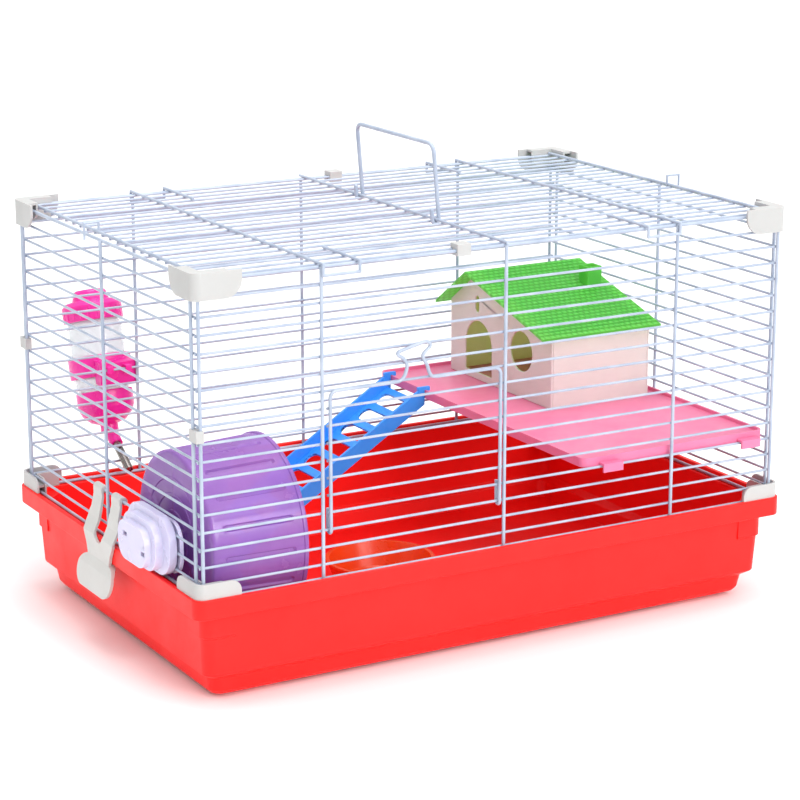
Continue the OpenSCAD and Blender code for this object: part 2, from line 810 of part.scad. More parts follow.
module bottle_nozzle() {
  r = bottle_r;
  color([0.94, 0.17, 0.63]) {
    bottle_frame() rotate_extrude($fn = 96)
      polygon([[r - 2.1, 11.8], [r, 11.8], [r + 0.2, 10], [r + 0.2, -3],
               [r - 3, -10], [r - 10, -17], [8, -20], [8, -17],
               [r - 11, -14.4], [r - 5, -8], [r - 2.1, -7]]);
    spout();
  }
}

// Spout and tube run down from the cap and through the rear wall
tube_a = 57;
tube_y = hy - bar_in;
tube_z = bar_z(0.52);
tube_r = 4;

module tube_frame() {
  translate([bot_x, tube_y, tube_z]) rotate([-tube_a, 0, 0]) children();
}

module spout() {
  // short socket that takes the tube, joined to the cap by a sloping neck
  difference() {
    union() {
      tube_frame() translate([0, 0, 11]) cylinder(h = 15, r = tube_r + 2);
      bottle_frame() translate([0, 0, -27]) cylinder(h = 10.6, r = 8.4);
    }
    tube_frame() translate([0, 0, 5]) cylinder(h = 17, r = tube_r + 0.02);
  }
}

module drinking_tube() {
  color([0.75, 0.75, 0.76]) tube_frame() difference() {
    translate([0, 0, -22]) cylinder(h = 43.8, r = tube_r, $fn = 48);
    translate([0, 0, -21.2]) cylinder(h = 50, r = tube_r - 0.5, $fn = 48);
    translate([0, 0, -24]) cylinder(h = 5, r = 2.7, $fn = 48);
  }
}

module tube_ball() {
  color([0.8, 0.8, 0.82]) tube_frame()
    translate([0, 0, -18.9]) sphere(3.3, $fn = 48);
}

// Ring round the bottle with an arm hooked over a bar of the rear wall
module bottle_holder() {
  r = bottle_r;
  zb = bar_z(6);
  color([0.94, 0.17, 0.63]) {
    bottle_frame() difference() {
      translate([0, 0, 25]) cylinder(h = 20, r = r + 3, $fn = 96);
      translate([0, 0, 24]) cylinder(h = 30, r = r + 0.15, $fn = 96);
    }
    difference() {
      translate([bot_x - 16, hy - 5.6, zb - 16]) cube([36, 24, 22]);
      bottle_frame() translate([0, 0, -10]) cylinder(h = 90, r = r + 1.5, $fn = 96);
      translate([bot_x - 12, hy - 2, zb - 20]) cube([28, 30, 14]);
    }
    for (x = [bot_x - 12, bot_x + 6]) {
      translate([x, hy - bar_in - bar_r - 2.4, zb + bar_r + 0.1])
        cube([6, bar_in - 4 + bar_r + 2.4, 2.4]);
      translate([x, hy - bar_in - bar_r - 2.4, zb - 3])
        cube([6, 2.2, bar_r + 3.2]);
    }
  }
}

base_tray();
front_panel();
back_panel();
left_panel();
right_panel();
roof_panel();
front_door();
carry_handle();
top_corner_fl();
top_corner_fr();
top_corner_bl();
top_corner_br();
bottom_corner_fl();
bottom_corner_fr();
bottom_corner_bl();
bottom_corner_br();
corner_clips();
roof_clips();
left_latch();
right_latch();
wheel_drum();
wheel_axle();
wheel_bracket();
bracket_cover();
shelf();
ladder();
house_front();
house_back();
house_low_wall();
house_high_wall();
house_roof();
house_chimney();
food_dish();
bottle_body();
bottle_cap();
bottle_holder();
bottle_nozzle();
drinking_tube();
tube_ball();
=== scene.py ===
# %% [markdown]
# # A hamster cage, piece by piece
# The cage is a deep red tray with a wire top, a wheel, a shelf with a small house, a ladder,
# a food dish and a drinking bottle. The measured solids come ready made as a frame. This lesson
# gives each one its finish and builds the pieces whose soft edges, bent wires or pressed
# relief need a mesh of their own: the tray, the door, the wheel and the roof of the house.

# %% Start from the measured frame
import json
import math
import bpy
import bmesh
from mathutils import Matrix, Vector


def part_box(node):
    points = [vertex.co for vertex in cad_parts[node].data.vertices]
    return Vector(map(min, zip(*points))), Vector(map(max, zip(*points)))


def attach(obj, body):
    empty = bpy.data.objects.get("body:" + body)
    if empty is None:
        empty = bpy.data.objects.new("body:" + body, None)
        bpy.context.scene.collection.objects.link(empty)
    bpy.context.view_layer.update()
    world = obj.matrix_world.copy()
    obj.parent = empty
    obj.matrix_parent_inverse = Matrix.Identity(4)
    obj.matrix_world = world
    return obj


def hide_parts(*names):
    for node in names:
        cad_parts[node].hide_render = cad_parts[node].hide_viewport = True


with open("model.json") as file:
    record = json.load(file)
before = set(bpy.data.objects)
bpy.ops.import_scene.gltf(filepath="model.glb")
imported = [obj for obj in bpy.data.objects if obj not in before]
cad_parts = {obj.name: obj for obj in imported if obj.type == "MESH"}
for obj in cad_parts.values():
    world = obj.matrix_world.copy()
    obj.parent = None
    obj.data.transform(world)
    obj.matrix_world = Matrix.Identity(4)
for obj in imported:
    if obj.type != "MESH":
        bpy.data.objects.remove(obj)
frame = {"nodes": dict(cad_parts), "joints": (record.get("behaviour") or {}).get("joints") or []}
scene = bpy.context.scene
nodes = frame["nodes"]
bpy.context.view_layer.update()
MM = 0.001

# %% [markdown]
# ## Colour and node helpers
# Paint charts give colours as sRGB hex, but a renderer adds up light in linear numbers, so one
# function turns the one into the other. A second small function adds any shader node together
# with its settings and its links, which keeps the recipes below short.

# %% Colour and node helpers
def linear(hex_colour):
    """sRGB hex to linear red, green, blue and a full alpha."""
    values = [int(hex_colour[i:i + 2], 16) / 255 for i in (1, 3, 5)]
    return [v / 12.92 if v <= 0.04045 else ((v + 0.055) / 1.055) ** 2.4 for v in values] + [1]


def add(tree, kind, settings=None, links=None):
    """Adds a node, sets its sockets or properties, and links sources into its inputs."""
    node = tree.nodes.new(kind)
    for key, value in (settings or {}).items():
        if isinstance(key, int) or key in node.inputs:
            node.inputs[key].default_value = value
        else:
            setattr(node, key, value)
    for key, source in (links or {}).items():
        tree.links.new(source, node.inputs[key])
    return node


def new_material(name):
    """An empty node material with its output."""
    material = bpy.data.materials.new(name)
    material.use_nodes = True
    material.node_tree.nodes.clear()
    return material, material.node_tree


def finish_nodes(tree, shader):
    """Links the shader to a material output."""
    add(tree, "ShaderNodeOutputMaterial", links={"Surface": shader.outputs["BSDF"]})


# %% [markdown]
# ## Moulded plastic
# Most pieces are injection moulded polypropylene. The mould's fine spark-eroded grain leaves
# dimples about half a millimetre across, the melt cools unevenly so the skin waves over some
# 30 mm, and handling leaves faint cloudy patches where the gloss changes. Polypropylene has an
# IOR of 1.49 and lets a little light into its skin. Layers of noise at those three sizes give
# the whole family, so one recipe with a few numbers makes every moulded colour.

# %% Moulded plastic
def moulded(name, colour, shade, roughness=0.36, grain_mm=0.6, grain_depth=0.02,
            wave_depth=0.12, skin=0.0, gleam=0.5, ior=1.49):
    """Injection moulded plastic with grain, slow waves and patches of changed gloss."""
    material, tree = new_material(name)
    place = add(tree, "ShaderNodeTexCoord").outputs["Object"]
    grain = add(tree, "ShaderNodeTexNoise", {"Scale": 1 / (grain_mm * MM), "Detail": 2.0},
                {"Vector": place})
    wave = add(tree, "ShaderNodeTexNoise", {"Scale": 1 / (32 * MM), "Detail": 1.0},
               {"Vector": place})
    cloud = add(tree, "ShaderNodeTexNoise", {"Scale": 1 / (45 * MM), "Detail": 5.0,
                                             "Roughness": 0.62}, {"Vector": place})
    tint = add(tree, "ShaderNodeMix", {"data_type": "RGBA"})
    tint.inputs[6].default_value = linear(colour)
    tint.inputs[7].default_value = linear(shade)
    share = add(tree, "ShaderNodeMapRange", {"From Min": 0.35, "From Max": 0.75, "To Min": 0.0,
                                             "To Max": 0.8}, {"Value": cloud.outputs["Fac"]})
    tree.links.new(share.outputs["Result"], tint.inputs[0])
    gloss = add(tree, "ShaderNodeMapRange", {"From Min": 0.3, "From Max": 0.7,
                                             "To Min": roughness - 0.06,
                                             "To Max": roughness + 0.08},
                {"Value": cloud.outputs["Fac"]})
    slow = add(tree, "ShaderNodeBump", {"Strength": 0.35, "Distance": wave_depth * MM},
               {"Height": wave.outputs["Fac"]})
    fine = add(tree, "ShaderNodeBump", {"Strength": 0.6, "Distance": grain_depth * MM},
               {"Height": grain.outputs["Fac"], "Normal": slow.outputs["Normal"]})
    shader = add(tree, "ShaderNodeBsdfPrincipled",
                 {"IOR": ior, "Subsurface Weight": skin, "Subsurface Scale": 0.004,
                  "Specular IOR Level": gleam},
                 {"Base Color": tint.outputs[2], "Roughness": gloss.outputs["Result"],
                  "Normal": fine.outputs["Normal"]})
    shader.inputs["Subsurface Radius"].default_value = (1.0, 0.6, 0.6)
    finish_nodes(tree, shader)
    print("moulded plastic:", name)
    return material


polypropylene_red = moulded("polypropylene_red_moulded", "#FF1D19", "#FB1814", 0.42, skin=0.06,
                            gleam=0.3)
polypropylene_white = moulded("polypropylene_white_moulded", "#BDBDBC", "#B4B4B2", 0.42,
                              skin=0.12)
latch_white = moulded("latch_nylon_white_moulded", "#CDCDCA", "#C2C2BE", 0.42, skin=0.12)
polystyrene_lilac = moulded("bracket_polystyrene_lilac_moulded", "#D3D0E8", "#C8C3E2", 0.25,
                            skin=0.25)
polystyrene_pink = moulded("shelf_polystyrene_pink_moulded", "#E87CA2", "#E27099", 0.34,
                           skin=0.2)
polypropylene_blue = moulded("ladder_polypropylene_blue_moulded", "#3A9CFC", "#2388EE", 0.36,
                             skin=0.1)
polypropylene_magenta = moulded("bottle_polypropylene_magenta_moulded", "#F22AA2", "#DE1C92",
                                0.24, skin=0.25)

# %% [markdown]
# ## Thin see-through plastic
# The wheel and the dish are moulded in polystyrene with a transparent dye: light passes, and
# they are darker where two walls lie behind each other. Mixing a see-through share into an
# ordinary glossy plastic shows that without tracing light through thick glass.

# %% Thin see-through plastic
def dyed_clear(name, colour, shade, through, pass_share, roughness=0.22):
    """Glossy dyed plastic of which pass_share of the light goes straight through, dyed."""
    material = moulded(name, colour, shade, roughness, grain_mm=1.2, grain_depth=0.01,
                       wave_depth=0.3, skin=0.08, ior=1.59)
    tree = material.node_tree
    glossy = next(n for n in tree.nodes if n.type == "BSDF_PRINCIPLED")
    output = next(n for n in tree.nodes if n.type == "OUTPUT_MATERIAL")
    straight = add(tree, "ShaderNodeBsdfTransparent", {"Color": linear(through)})
    both = add(tree, "ShaderNodeMixShader", {0: pass_share})
    tree.links.new(glossy.outputs["BSDF"], both.inputs[1])
    tree.links.new(straight.outputs["BSDF"], both.inputs[2])
    tree.links.new(both.outputs["Shader"], output.inputs["Surface"])
    return material


wheel_purple = dyed_clear("wheel_polystyrene_purple_dyed", "#A674C6", "#9862B8", "#D8B8F4", 0.3)
dish_orange = dyed_clear("dish_polystyrene_orange_dyed", "#F0581C", "#E44A14", "#FFB060", 0.4)

# %% [markdown]
# ## Powder-coated wire
# Every wall is mild steel wire, welded and dusted with pale blue-white epoxy powder that melts
# into a skin 0.08 mm thick. It flows like thick paint, so the surface has a soft orange peel of
# about 1 mm, and at the welds the coat lies a little thicker and greyer.

# %% Powder-coated wire
def powder_coated_wire():
    """Epoxy powder melted on steel wire, with orange peel and paler patches."""
    material, tree = new_material("steel_wire_powder_coated")
    place = add(tree, "ShaderNodeTexCoord").outputs["Object"]
    peel = add(tree, "ShaderNodeTexNoise", {"Scale": 1 / (1.1 * MM), "Detail": 1.5},
               {"Vector": place})
    patch = add(tree, "ShaderNodeTexNoise", {"Scale": 1 / (22 * MM), "Detail": 3.0},
                {"Vector": place})
    coat = add(tree, "ShaderNodeValToRGB", links={"Fac": patch.outputs["Fac"]})
    coat.color_ramp.elements[0].position = 0.3
    coat.color_ramp.elements[0].color = linear("#98A5BA")
    coat.color_ramp.elements[1].position = 0.62
    coat.color_ramp.elements[1].color = linear("#B0BBCC")
    bump = add(tree, "ShaderNodeBump", {"Strength": 0.5, "Distance": 0.04 * MM},
               {"Height": peel.outputs["Fac"]})
    shader = add(tree, "ShaderNodeBsdfPrincipled",
                 {"Roughness": 0.3, "IOR": 1.52, "Coat Weight": 0.3, "Coat Roughness": 0.15},
                 {"Base Color": coat.outputs["Color"], "Normal": bump.outputs["Normal"]})
    finish_nodes(tree, shader)
    print("powder coat on wire, orange peel 1.1 mm")
    return material


coated_wire = powder_coated_wire()

# %% [markdown]
# ## House walls
# The house is cream polypropylene with a coarser grain. Its roof lets green light in, and the
# inner faces are painted yellow-green as painted light that stands for that green light. The
# material finds them by their place: they lie more than a millimetre inside the outer box of the
# walls.

# %% House walls
wall_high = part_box("house_back")[1]
front_low, front_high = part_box("house_front")


def house_wall_plastic_painted_roof_light():
    """Cream outside, with painted yellow-green light on every face more than 1.3 mm inside the outer
    box.
    """
    material = moulded("house_polypropylene_cream_painted_roof_light", "#EEE6E8", "#E6DEE0", 0.45,
                       grain_mm=0.9, grain_depth=0.05, skin=0.15)
    tree = material.node_tree
    shader = next(n for n in tree.nodes if n.type == "BSDF_PRINCIPLED")
    outer_colour = shader.inputs["Base Color"].links[0].from_socket
    place = add(tree, "ShaderNodeTexCoord").outputs["Object"]
    axes = add(tree, "ShaderNodeSeparateXYZ", links={0: place})
    # mask of the inner faces that get the painted roof light
    inside = None
    middle = ((front_low.x + wall_high.x) / 2, (front_low.y + front_high.y) / 2)
    half = ((wall_high.x - front_low.x) / 2, (front_high.y - front_low.y) / 2)
    for axis, centre, reach in (("X", middle[0], half[0]), ("Y", middle[1], half[1])):
        near = add(tree, "ShaderNodeMath", {"operation": "COMPARE", 1: centre,
                                            2: reach - 1.3 * MM}, {0: axes.outputs[axis]})
        if inside is None:
            inside = near.outputs[0]
        else:
            inside = add(tree, "ShaderNodeMath", {"operation": "MULTIPLY"},
                         {0: inside, 1: near.outputs[0]}).outputs[0]
    # painted light: the yellow-green #FFFCC4 on the inner faces stands for green light through the
    # roof
    tint = add(tree, "ShaderNodeMix", {"data_type": "RGBA"})
    tint.inputs[7].default_value = linear("#FFFCC4")
    tree.links.new(inside, tint.inputs[0])
    tree.links.new(outer_colour, tint.inputs[6])
    tree.links.new(tint.outputs[2], shader.inputs["Base Color"])
    return material


def lets_light_in(material, colour, share):
    """Mixes in light that scatters right through the thin wall."""
    tree = material.node_tree
    glossy = next(n for n in tree.nodes if n.type == "BSDF_PRINCIPLED")
    output = next(n for n in tree.nodes if n.type == "OUTPUT_MATERIAL")
    through_wall = add(tree, "ShaderNodeBsdfTranslucent", {"Color": linear(colour)})
    both = add(tree, "ShaderNodeMixShader", {0: share})
    tree.links.new(glossy.outputs["BSDF"], both.inputs[1])
    tree.links.new(through_wall.outputs["BSDF"], both.inputs[2])
    tree.links.new(both.outputs["Shader"], output.inputs["Surface"])
    return material


house_cream_painted_roof_light = lets_light_in(house_wall_plastic_painted_roof_light(), "#FFF8E0", 0.25)
roof_green = moulded("roof_polypropylene_green_moulded", "#56C24C", "#4AB543", 0.4, skin=0.25)
roof_green = lets_light_in(roof_green, "#C8FFA0", 0.45)

# %% [markdown]
# ## Clear bottle and steel tube
# The bottle is blown from clear PET (IOR 1.57) with faint flow lines round it. The tube is
# drawn stainless steel: bright, with fine lines along its length from the drawing die.

# %% Clear bottle and steel tube
def clear_pet():
    """Clear blown bottle wall with flow lines."""
    material, tree = new_material("bottle_pet_clear_blown")
    place = add(tree, "ShaderNodeTexCoord").outputs["Object"]
    lines = add(tree, "ShaderNodeTexWave", {"Scale": 1 / (9 * MM), "Distortion": 2.0,
                                            "bands_direction": "Z"}, {"Vector": place})
    bump = add(tree, "ShaderNodeBump", {"Strength": 0.4, "Distance": 0.2 * MM},
               {"Height": lines.outputs["Fac"]})
    shader = add(tree, "ShaderNodeBsdfPrincipled",
                 {"Base Color": linear("#F4F7F8"), "Roughness": 0.06, "IOR": 1.57,
                  "Transmission Weight": 0.2}, {"Normal": bump.outputs["Normal"]})
    straight = add(tree, "ShaderNodeBsdfTransparent", {"Color": linear("#FAFCFD")})
    both = add(tree, "ShaderNodeMixShader", {0: 0.62})
    tree.links.new(shader.outputs["BSDF"], both.inputs[1])
    tree.links.new(straight.outputs["BSDF"], both.inputs[2])
    add(tree, "ShaderNodeOutputMaterial", links={"Surface": both.outputs["Shader"]})
    return material


def drawn_steel():
    """Stainless tube with die lines along its length."""
    material, tree = new_material("tube_stainless_steel_drawn")
    place = add(tree, "ShaderNodeTexCoord").outputs["Object"]
    along = add(tree, "ShaderNodeMapping", {"Rotation": (math.radians(-57), 0, 0),
                                            "Scale": (1, 1, 0.03)}, {"Vector": place})
    lines = add(tree, "ShaderNodeTexNoise", {"Scale": 1 / (0.5 * MM), "Detail": 2.0},
                {"Vector": along.outputs["Vector"]})
    rough = add(tree, "ShaderNodeMapRange", {"To Min": 0.16, "To Max": 0.34},
                {"Value": lines.outputs["Fac"]})
    bump = add(tree, "ShaderNodeBump", {"Strength": 0.4, "Distance": 0.02 * MM},
               {"Height": lines.outputs["Fac"]})
    shader = add(tree, "ShaderNodeBsdfPrincipled",
                 {"Base Color": linear("#8F8B86"), "Metallic": 1.0},
                 {"Roughness": rough.outputs["Result"], "Normal": bump.outputs["Normal"]})
    finish_nodes(tree, shader)
    return material


bottle_pet = clear_pet()
tube_steel = drawn_steel()
print("bottle and tube finishes ready")

# %% [markdown]
# ## Mesh helpers
# A tray, a shelf or a dish is a loft: the same rounded rectangle or circle, repeated at
# different heights and insets, with skin between neighbours. `soften` rounds the corners of the
# profile first, because a moulded edge is never sharp and the small radius is what catches the
# light. Bent wires are curves with a round section.

# %% Mesh helpers
def piece(name, verts, faces, body, material, replaced=()):
    """A mesh object in the row frame that rides on a body and stands for some solids."""
    mesh = bpy.data.meshes.new(name)
    mesh.from_pydata([tuple(v) for v in verts], [], faces)
    mesh.validate()
    tidy = bmesh.new()
    tidy.from_mesh(mesh)
    bmesh.ops.remove_doubles(tidy, verts=tidy.verts, dist=0.00001)
    bmesh.ops.recalc_face_normals(tidy, faces=tidy.faces)
    tidy.to_mesh(mesh)
    tidy.free()
    mesh.shade_smooth()
    mesh.set_sharp_from_angle(angle=math.radians(38))
    made = bpy.data.objects.new(name, mesh)
    scene.collection.objects.link(made)
    mesh.materials.append(material)
    even = made.modifiers.new("even_shading", "WEIGHTED_NORMAL")
    even.keep_sharp = True
    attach(made, body)
    if replaced:
        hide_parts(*replaced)
    print(name, "has", len(mesh.polygons), "faces")
    return made


def soften(profile, radius, steps=4):
    """Rounds each inner corner of a list of points by a short curve."""
    points = [Vector(p) for p in profile]
    out = [points[0]]
    for before, corner, after in zip(points, points[1:], points[2:]):
        a = corner + (before - corner).normalized() * min(radius, (before - corner).length * 0.45)
        b = corner + (after - corner).normalized() * min(radius, (after - corner).length * 0.45)
        for i in range(steps + 1):
            t = i / steps
            out.append(a * (1 - t) ** 2 + corner * 2 * t * (1 - t) + b * t * t)
    return out + [points[-1]]


def rounded_ring(half_x, half_y, radius, z, centre=(0, 0), steps=8):
    """Points round a rectangle with rounded corners."""
    ring = []
    for cx, cy, start in ((1, 1, 0), (-1, 1, 90), (-1, -1, 180), (1, -1, 270)):
        for i in range(steps + 1):
            a = math.radians(start + 90 * i / steps)
            ring.append((centre[0] + cx * (half_x - radius) + radius * math.cos(a),
                         centre[1] + cy * (half_y - radius) + radius * math.sin(a), z))
    return ring


def skin_rings(rings, caps=True):
    """Quads between neighbouring rings, with the two ends closed."""
    count = len(rings[0])
    verts = [v for ring in rings for v in ring]
    faces = []
    for r in range(len(rings) - 1):
        for i in range(count):
            j = (i + 1) % count
            faces.append((r * count + i, r * count + j, (r + 1) * count + j,
                          (r + 1) * count + i))
    if caps:
        faces.append(tuple(range(count)))
        faces.append(tuple(reversed(range((len(rings) - 1) * count, len(rings) * count))))
    return verts, faces


def bent_wires(name, paths, radius, body, material, replaced=()):
    """Round wires along lists of points, as one curve object."""
    curve = bpy.data.curves.new(name, "CURVE")
    curve.dimensions = "3D"
    curve.bevel_depth = radius
    curve.bevel_resolution = 4
    curve.use_fill_caps = True
    for path in paths:
        spline = curve.splines.new("POLY")
        spline.points.add(len(path) - 1)
        for point, place in zip(spline.points, path):
            point.co = (*place, 1)
        spline.use_smooth = True
    made = bpy.data.objects.new(name, curve)
    scene.collection.objects.link(made)
    curve.materials.append(material)
    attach(made, body)
    if replaced:
        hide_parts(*replaced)
    print(name, "has", len(paths), "wires")
    return made


def through(points, steps=6):
    """A smooth line through the points (Catmull-Rom)."""
    p = [Vector(points[0])] + [Vector(q) for q in points] + [Vector(points[-1])]
    out = []
    for i in range(1, len(p) - 2):
        for k in range(steps):
            t = k / steps
            out.append(0.5 * (2 * p[i] + (p[i + 1] - p[i - 1]) * t
                              + (2 * p[i - 1] - 5 * p[i] + 4 * p[i + 1] - p[i + 2]) * t * t
                              + (3 * p[i] - p[i - 1] - 3 * p[i + 1] + p[i + 2]) * t ** 3))
    return out + [p[-1]]


print("mesh helpers ready")

# %% [markdown]
# ## The tray
# The tray is one deep moulding: a skirted rim with a groove for the wire wall, a tall sloping
# wall, a step for stacking and a foot. Its profile is written once as (inset, height, corner
# radius) in millimetres, softened, and lofted all the way round.

# %% The tray
tray_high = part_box("base_tray")[1]
half_x = tray_high.x / MM
half_y = tray_high.y / MM
rim = tray_high.z / MM
tray_profile = [
    (60, 4, 9), (27, 4, 9), (24, 8, 10), (22, rim - 76, 10), (14.5, rim - 71, 10),
    (11.5, rim - 17, 10), (11.4, rim - 6.5, 10), (2.4, rim - 6.5, 8), (2.4, rim - 16.5, 8),
    (0, rim - 16.5, 10), (0, rim, 10), (4.5, rim, 7), (4.5, rim - 4, 7),
    (14, rim - 4, 8.5), (17, rim - 69, 8.5), (24.5, rim - 73.5, 8.5), (27.5, 6.5, 8),
    (60, 6.5, 8)]
softened = soften(tray_profile, 1.1)
rings = [rounded_ring((half_x - i) * MM, (half_y - i) * MM, r * MM, z * MM)
         for i, z, r in softened]
tray_verts, tray_faces = skin_rings(rings)


def soft_box(verts, faces, centre, size, radius, bevel):
    """Adds a rounded block to a growing list of vertices and faces."""
    steps = [(bevel, -size[2] / 2), (0, -size[2] / 2 + bevel), (0, size[2] / 2 - bevel),
             (bevel, size[2] / 2)]
    block = [rounded_ring((size[0] / 2 - i) * MM, (size[1] / 2 - i) * MM,
                          max(radius - i, 0.2) * MM, (centre[2] + z) * MM,
                          (centre[0] * MM, centre[1] * MM)) for i, z in steps]
    more_verts, more_faces = skin_rings(block)
    base = len(verts)
    verts += more_verts
    faces += [tuple(base + k for k in f) for f in more_faces]


for sx in (-1, 1):
    for sy in (-1, 1):
        soft_box(tray_verts, tray_faces, (sx * (half_x - 68), sy * (half_y - 46), 2.6),
                 (46, 20, 5), 5, 1)
soft_box(tray_verts, tray_faces, (0, 0, 2.6), (40, 40, 5), 19.9, 1)


def corner_pad(verts, faces, sx, sy):
    """The raised panel that stiffens each corner under the rim."""
    rows = []
    for z, inset in ((rim - 38, 12.6), (rim - 37, 11.2), (rim - 8, 11.2)):
        row = []
        for i in range(9):
            a = math.radians(90 * i / 8)
            row.append((half_x - inset - 10 + 10 * math.cos(a),
                        half_y - inset - 10 + 10 * math.sin(a)))
        row = [(half_x - inset, half_y - 39), *row, (half_x - 39, half_y - inset)]
        rows.append([(half_x - 15, half_y - 39), *[(x, y) for x, y in row],
                     (half_x - 39, half_y - 15)])
        rows[-1] = [(sx * x * MM, sy * y * MM, z * MM) for x, y in rows[-1]]
    more_verts, more_faces = skin_rings(rows)
    base = len(verts)
    verts += more_verts
    faces += [tuple(base + k for k in f) for f in more_faces]


for sx in (-1, 1):
    for sy in (-1, 1):
        corner_pad(tray_verts, tray_faces, sx, sy)
piece("tray_moulding", tray_verts, tray_faces, "cage", polypropylene_red,
      ("base_tray",))

# %% [markdown]
# ## The door
# The door is bent from one long wire: up one side, along the top with a springy hook in the
# middle, and down the other side, where each end curls round a bar of the wall as its hinge.
# A curve through the bends, with a round section, is just how it was made.

# %% The door
door_low, door_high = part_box("front_door")
thick = 1.5 * MM
left = door_low.x + thick
right = door_high.x - thick
hinge = next(j for j in frame["joints"] if j["name"] == "door_hinge")
hinge_y, hinge_z = hinge["pos_m"][1], hinge["pos_m"][2]
plane = hinge_y - 2.7 * MM
bar_pitch = 14.553 * MM
BARS_HIGH = 8
rail = hinge_z + BARS_HIGH * bar_pitch
middle = (left + right) / 2


def side_hook(x):
    """The open curl at the foot of a side wire, from its tip round to the front."""
    curl = [(x, hinge_y + 2.7 * MM, hinge_z + 17.5 * MM)]
    for i in range(13):
        a = math.radians(180 * i / 12)
        curl.append((x, hinge_y + 2.7 * MM * math.cos(a), hinge_z - 2.7 * MM * math.sin(a)))
    return curl


latch_bends = [(-22, 0), (-17, 0.3), (-13, 2.5), (-10.5, 7), (-9.5, 13), (-12.5, 18.5),
               (-17.5, 22), (-17.5, 24.5), (-12, 26.3), (-2, 28.6), (7, 30.4), (11.5, 29.2),
               (12, 26), (8.5, 22.8), (5.5, 19.5), (6.5, 15.5), (9.5, 10.5), (11.5, 4.5),
               (14, 1), (19, 0), (22, 0)]
latch = [(middle + x * MM, plane, rail + z * MM) for x, z in latch_bends]
turn = 6 * MM
corner_left = [(left + turn - turn * math.cos(math.radians(a)), plane,
                rail - turn + turn * math.sin(math.radians(a))) for a in range(0, 91, 15)]
corner_right = [(right - turn + turn * math.sin(math.radians(a)), plane,
                 rail - turn + turn * math.cos(math.radians(a))) for a in range(0, 91, 15)]
frame_wire = (side_hook(left) + corner_left + [tuple(p) for p in through(latch)]
              + corner_right + list(reversed(side_hook(right))))
bent_wires("door_frame_wire", [frame_wire], thick, "front_door", coated_wire,
           ("front_door",))
cross = [[(left - 2 * MM, plane + 2.4 * MM, hinge_z + k * bar_pitch),
          (right + 1.6 * MM, plane + 2.4 * MM, hinge_z + k * bar_pitch)] for k in range(1, BARS_HIGH)]
bent_wires("door_cross_wires", cross, 1.1 * MM, "front_door", coated_wire)

# %% [markdown]
# ## The wheel
# The wheel is turned round its axle like a pot on a lathe, so its wall is one profile repeated
# round a circle. Eighteen treads are pressed into it: long pills 5 mm wide, dented 2 mm inward
# so that feet find a grip inside. The closed face carries three rings and six spokes. Points
# stand close together at the edge of each tread and far apart on the smooth wall between.

# %% The wheel
wheel_low, wheel_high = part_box("wheel_drum")
spin = next(j for j in frame["joints"] if j["name"] == "wheel_spin")
axle_y, axle_z = spin["pos_m"][1], spin["pos_m"][2]
HUB_STANDS_OUT = 2
drum_r = (wheel_high.z - wheel_low.z) / 2 / MM
drum_w = (wheel_high.x - wheel_low.x) / MM - HUB_STANDS_OUT
drum_x = wheel_low.x / MM + HUB_STANDS_OUT
TREADS = 18
TREAD_DEPTH = 2.0
TREAD_END = 14
SPOKES = 6
RING_RADII = (23, 37, 51)
RELIEF = 0.9
BORE = 3.06
HUB = 9
WALL = 2.3
FACE = 2.4
TAPER = 3.2
LIP = 1.2
narrow = drum_r - TAPER - LIP


def step_up(value, low, high):
    """0 below low, 1 above high and a soft step between."""
    t = min(1.0, max(0.0, (value - low) / (high - low)))
    return t * t * (3 - 2 * t)


def tread(across, along):
    """1 inside a pill-shaped tread, 0 outside; millimetres from its middle."""
    past_end = max(abs(along) - (drum_w / 2 - TREAD_END), 0)
    return 1 - step_up(math.hypot(across, past_end), 1.7, 3.0)


def face_relief(radius, across_spoke):
    """Rings and spokes of the closed face, 0 to 1."""
    rings_here = max(1 - step_up(abs(radius - ring), 0.8, 1.5) for ring in RING_RADII)
    spoke = (1 - step_up(across_spoke, 1.2, 2.0)) * step_up(radius, 10, 12)
    return max(rings_here, spoke * (1 - step_up(radius, 64, 67)))


from_end = (8, 10, 11, 12, 13, 14, 16, 20, 30)
stations = [4, *from_end, drum_w / 2, *(drum_w - v for v in reversed(from_end))]
wall_line = [(narrow + TAPER * (v - 3) / (drum_w - 7), v) for v in stations]
radii = [HUB, 10, 12, 16]
for ring_radius in RING_RADII:
    radii += [ring_radius + v for v in (-2, -1.4, -0.8, 0, 0.8, 1.4, 2, 7)]
radii += [64, 67, narrow - 3]
drum = [(BORE, -HUB_STANDS_OUT, ""), (HUB - 0.6, -HUB_STANDS_OUT, ""), (HUB, -1.4, "")]
drum += [(v, 0, "face") for v in radii]
drum += [(narrow - 1.2, 0.7, ""), (narrow - 0.3, 1.9, "")]
drum += [(v, w, "wall") for v, w in wall_line]
drum += [(drum_r - LIP, drum_w - 4, ""), (drum_r - 0.2, drum_w - 3.5, ""),
         (drum_r, drum_w - 3, ""), (drum_r, drum_w - 0.6, ""), (drum_r - 0.6, drum_w, ""),
         (drum_r - 3, drum_w, ""), (drum_r - 3.6, drum_w - 0.6, "")]
drum += [(v - WALL, w, "wall") for v, w in reversed(wall_line)]
drum += [(narrow - 4, FACE, ""), (50, FACE, ""), (HUB + 0.8, FACE, ""), (HUB, FACE + 0.8, ""),
         (HUB, 17.4, ""), (HUB - 0.6, 18, ""), (BORE, 18, ""), (BORE, -HUB_STANDS_OUT, "")]
wall_radius = 76
tread_edge = (0.8, 1.7, 2.3, 2.8, 3.3, 6, 10)
gaps = [*(-v for v in reversed(tread_edge)), 0, *tread_edge, 13.25]
around = [(math.radians((i + 0.5) * 360 / TREADS) + gap / wall_radius, gap)
          for i in range(TREADS) for gap in gaps]
spoke_step = 2 * math.pi / SPOKES
wheel_rings = []
